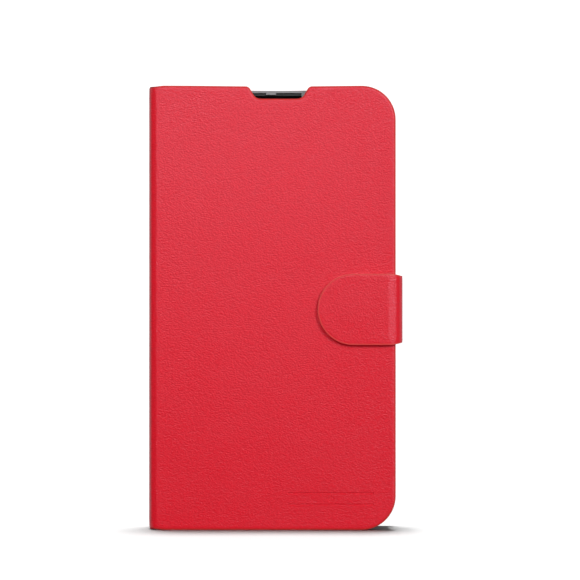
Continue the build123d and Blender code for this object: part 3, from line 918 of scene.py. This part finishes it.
def make_stitching():
    """A row of stitches down the spine side, along the bottom and up the free side."""
    low, high = corners_mm("cash_pocket")
    tops = [corners_mm(f"card_pocket_{name}")[1].z for name in ("top", "middle", "bottom")]
    sheet_depth = high.y - low.y
    path = inset(outline(pocket_corners(low, high), 0.8), STITCH_INSET)
    start = int(np.argmin(np.hypot(path[:, 0] - low.x, path[:, 1] - high.z)))
    path = np.roll(path, -start, axis=0)
    path = path[path[:, 1] < high.z - 2.0]
    along = np.concatenate([[0], np.cumsum(np.linalg.norm(np.diff(path, axis=0), axis=1))])
    bm = bmesh.new()
    for k in range(int(along[-1] // STITCH_PITCH)):
        first = k * STITCH_PITCH + STITCH_START
        places = [np.array([np.interp(s, along, path[:, axis]) for axis in (0, 1)])
                  for s in (first, first + STITCH_LENGTH)]
        middle = (places[0] + places[1]) / 2
        if any(min(p[1] for p in places) < top < max(p[1] for p in places) + 0.4 for top in tops):
            continue
        layers = 1 + sum(middle[1] < top for top in tops)
        direction = Vector((*(places[1] - places[0]), 0)).xzy
        centre = Vector((middle[0], low.y + layers * sheet_depth + STITCH_RISE, middle[1]))
        capsule(bm, centre, direction, Vector((0, 1, 0)), STITCH_LENGTH, STITCH_RADIUS)
    piece = finish_mesh("pocket_thread", bm, (THREAD,), 70)
    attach(piece, "front_cover")
    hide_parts("pocket_stitching")


POCKETS = ("cash_pocket", "card_pocket_top", "card_pocket_middle", "card_pocket_bottom")
for index, node in enumerate(POCKETS):
    make_pocket(node, seed=60 + index * 7)
make_stitching()


# ---------------------------------------------------------------- phone holder, boards, magnet
PAD_RADIUS = 9.0
PAD_EDGE = ((0.0, 0.1, 0.0), (0.15, 0.03, 0.0), (0.4, 0.0, 0.0), (0.7, 0.0, 0.0))
PAD_PITCH = 3.0


def dress(node, material, bevel=0.0):
    """Gives a CAD node its finish and rounds its sharp edges off by bevel."""
    piece = frame["nodes"][node]
    piece.data.materials.clear()
    piece.data.materials.append(material)
    if bevel:
        modifier = piece.modifiers.new("soft_edges", "BEVEL")
        modifier.width = bevel * MM
        modifier.segments = 2
        modifier.limit_method = "ANGLE"
        modifier.angle_limit = math.radians(40)


def make_pad():
    """The microfibre sheet on the holder's floor."""
    low, high = corners_mm("tray_pad")
    rim = outline([(low.x, low.z, PAD_RADIUS), (high.x, low.z, PAD_RADIUS),
                   (high.x, high.z, PAD_RADIUS), (low.x, high.z, PAD_RADIUS)])
    window = slot(CAMERA.x, CAMERA.z, WINDOW_WIDTH - 0.4, WINDOW_HEIGHT - 0.4)
    columns = spaced((low.x, high.x, PAD_PITCH))
    rows = spaced((low.z, high.z, PAD_PITCH))

    def nap(u, v):
        return low.y - high.y - 0.02 * ripple(u, v, 12, 15)

    piece = sheet("holder_pad_sheet", rim, PAD_EDGE, columns, rows, nap, level(0.0),
                  laid_flat(high.y), holes=(window,), materials=(MICROFIBRE,))
    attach(piece, "back_cover")
    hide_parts("tray_pad")


dress("phone_tray", BLACK, 0.15)
dress("tray_rim", GREY, 0.2)
for board in ("front_board", "back_board", "spine_stiffener", "strap_filler"):
    dress(board, BOARD)
for metal in ("front_keeper", "strap_magnet"):
    dress(metal, STEEL, 0.1)
make_pad()


# ---------------------------------------------------------------- stage, lights, camera
ROOM = 0.02                 # brightness of the dark room in front
SWEEP = 0.74                # brightness of the white sweep behind
SWEEP_RANGE = (-0.35, 0.25)    # how far the view turns from one to the other
BACKDROP = 1.15             # brightness of the sweep as the camera sees it
FLOOR_LIGHT = 11.8
FLOOR_TONE = (0.25, 0.25, 0.25)


def make_floor():
    """The pale floor, which isn't mirrored in the object and throws no light back at it."""
    bpy.ops.mesh.primitive_plane_add(size=8, location=(0, 0, 0))
    floor = bpy.context.object
    floor.name = "floor"
    n = Nodes("pale_floor", FLOOR_TONE, 0.7, Specular_IOR_Level=0.1)
    tone = n.noise(n.object_map(), 3, 2)
    colour = n.mix(n.span(tone, 0.3, 0.7, 0, 1), FLOOR_TONE, (0.26, 0.26, 0.26))
    floor.data.materials.append(n.use(Base_Color=colour))
    floor.visible_diffuse = False
    floor.visible_glossy = False
    return floor


def aim(light, place, target):
    """Puts a light in its place, turned to its target."""
    light.location = place
    light.rotation_euler = (Vector(target) - Vector(place)).to_track_quat("-Z", "Y").to_euler()
    bpy.context.collection.objects.link(light)


def link_floor(light, floor, state):
    """Makes the light reach only the floor, or everything but the floor."""
    receivers = bpy.data.collections.new(f"{light.name}_receivers")
    receivers.objects.link(floor)
    receivers.collection_objects[0].light_linking.link_state = state
    light.light_linking.receiver_collection = receivers


def softbox(name, place, width, height, watts, floor, mirrored=True):
    """A soft rectangular light, turned to the middle of the case, which misses the floor.

    One that isn't mirrored opens up the shadows and doesn't show as a reflection.
    """
    data = bpy.data.lights.new(name, "AREA")
    data.shape = "RECTANGLE"
    data.size = width
    data.size_y = height
    data.energy = watts
    light = bpy.data.objects.new(name, data)
    light.visible_glossy = mirrored
    aim(light, place, (0, 0, HEIGHT * MM / 2))
    link_floor(light, floor, "EXCLUDE")


def floor_light(floor, strength):
    """A broad light straight down, a touch from behind, which only whitens the floor."""
    data = bpy.data.lights.new("floor_light", "SUN")
    data.energy = strength
    data.angle = math.radians(10.5)
    light = bpy.data.objects.new("floor_light", data)
    aim(light, (0, 0.08, 1), (0, 0, 0))
    link_floor(light, floor, "INCLUDE")


def make_world():
    """A white sweep behind the object and a dark room in front of it."""
    world = bpy.data.worlds.new("white_sweep")
    world.use_nodes = True
    nodes, links = world.node_tree.nodes, world.node_tree.links
    direction = nodes.new("ShaderNodeSeparateXYZ")
    links.new(nodes.new("ShaderNodeTexCoord").outputs["Generated"], direction.inputs[0])

    strength = nodes.new("ShaderNodeMapRange")
    strength.interpolation_type = "SMOOTHSTEP"
    links.new(direction.outputs["Y"], strength.inputs["Value"])
    names = ("From Min", "From Max", "To Min", "To Max")
    for name, value in zip(names, (*SWEEP_RANGE, ROOM, SWEEP)):
        strength.inputs[name].default_value = value
    light = nodes["Background"]
    light.inputs["Color"].default_value = (1, 1, 1, 1)
    links.new(strength.outputs[0], light.inputs["Strength"])
    seen = nodes.new("ShaderNodeBackground")
    seen.inputs["Color"].default_value = (1, 1, 1, 1)
    seen.inputs["Strength"].default_value = BACKDROP
    mix = nodes.new("ShaderNodeMixShader")
    links.new(nodes.new("ShaderNodeLightPath").outputs["Is Camera Ray"], mix.inputs["Fac"])
    links.new(light.outputs[0], mix.inputs[1])
    links.new(seen.outputs[0], mix.inputs[2])
    links.new(mix.outputs[0], nodes["World Output"].inputs["Surface"])
    bpy.context.scene.world = world
    bpy.context.scene.view_settings.view_transform = "Standard"


CAMERA_DISTANCE = 1.0       # to the front cover
CAMERA_ACROSS = 0.00545     # it looks level and square at the cover from here
CAMERA_UP = 0.0918
VIEW_WIDTH = 0.2219         # width that the picture takes in at the front cover
SENSOR = 36.0


def make_camera():
    """A long lens, level and square to the front cover."""
    data = bpy.data.cameras.new("camera")
    data.sensor_width = SENSOR
    data.lens = SENSOR * CAMERA_DISTANCE / VIEW_WIDTH
    camera = bpy.data.objects.new("camera", data)
    camera.location = (CAMERA_ACROSS, FRONT * MM - CAMERA_DISTANCE, CAMERA_UP)
    camera.rotation_euler = (math.pi / 2, 0, 0)
    bpy.context.collection.objects.link(camera)
    bpy.context.scene.camera = camera


stage_floor = make_floor()
make_world()
floor_light(stage_floor, FLOOR_LIGHT)
# Each softbox: its place, its width and height in metres, and its watts.
softbox("key_softbox", (0.2, -1.75, 1.95), 1.3, 1.0, 5, stage_floor)
softbox("right_softbox", (1.1, -2.1, 0.95), 0.8, 1.0, 36, stage_floor)
softbox("left_softbox", (-1.2, -2.0, 0.95), 0.8, 1.0, 4, stage_floor)
softbox("sheen_softbox", (-0.12, -0.55, 0.33), 0.3, 0.08, 0.97, stage_floor)
softbox("fill_softbox", (0.0, -1.9, 0.06), 0.6, 0.1, 11.5, stage_floor, mirrored=False)
make_camera()
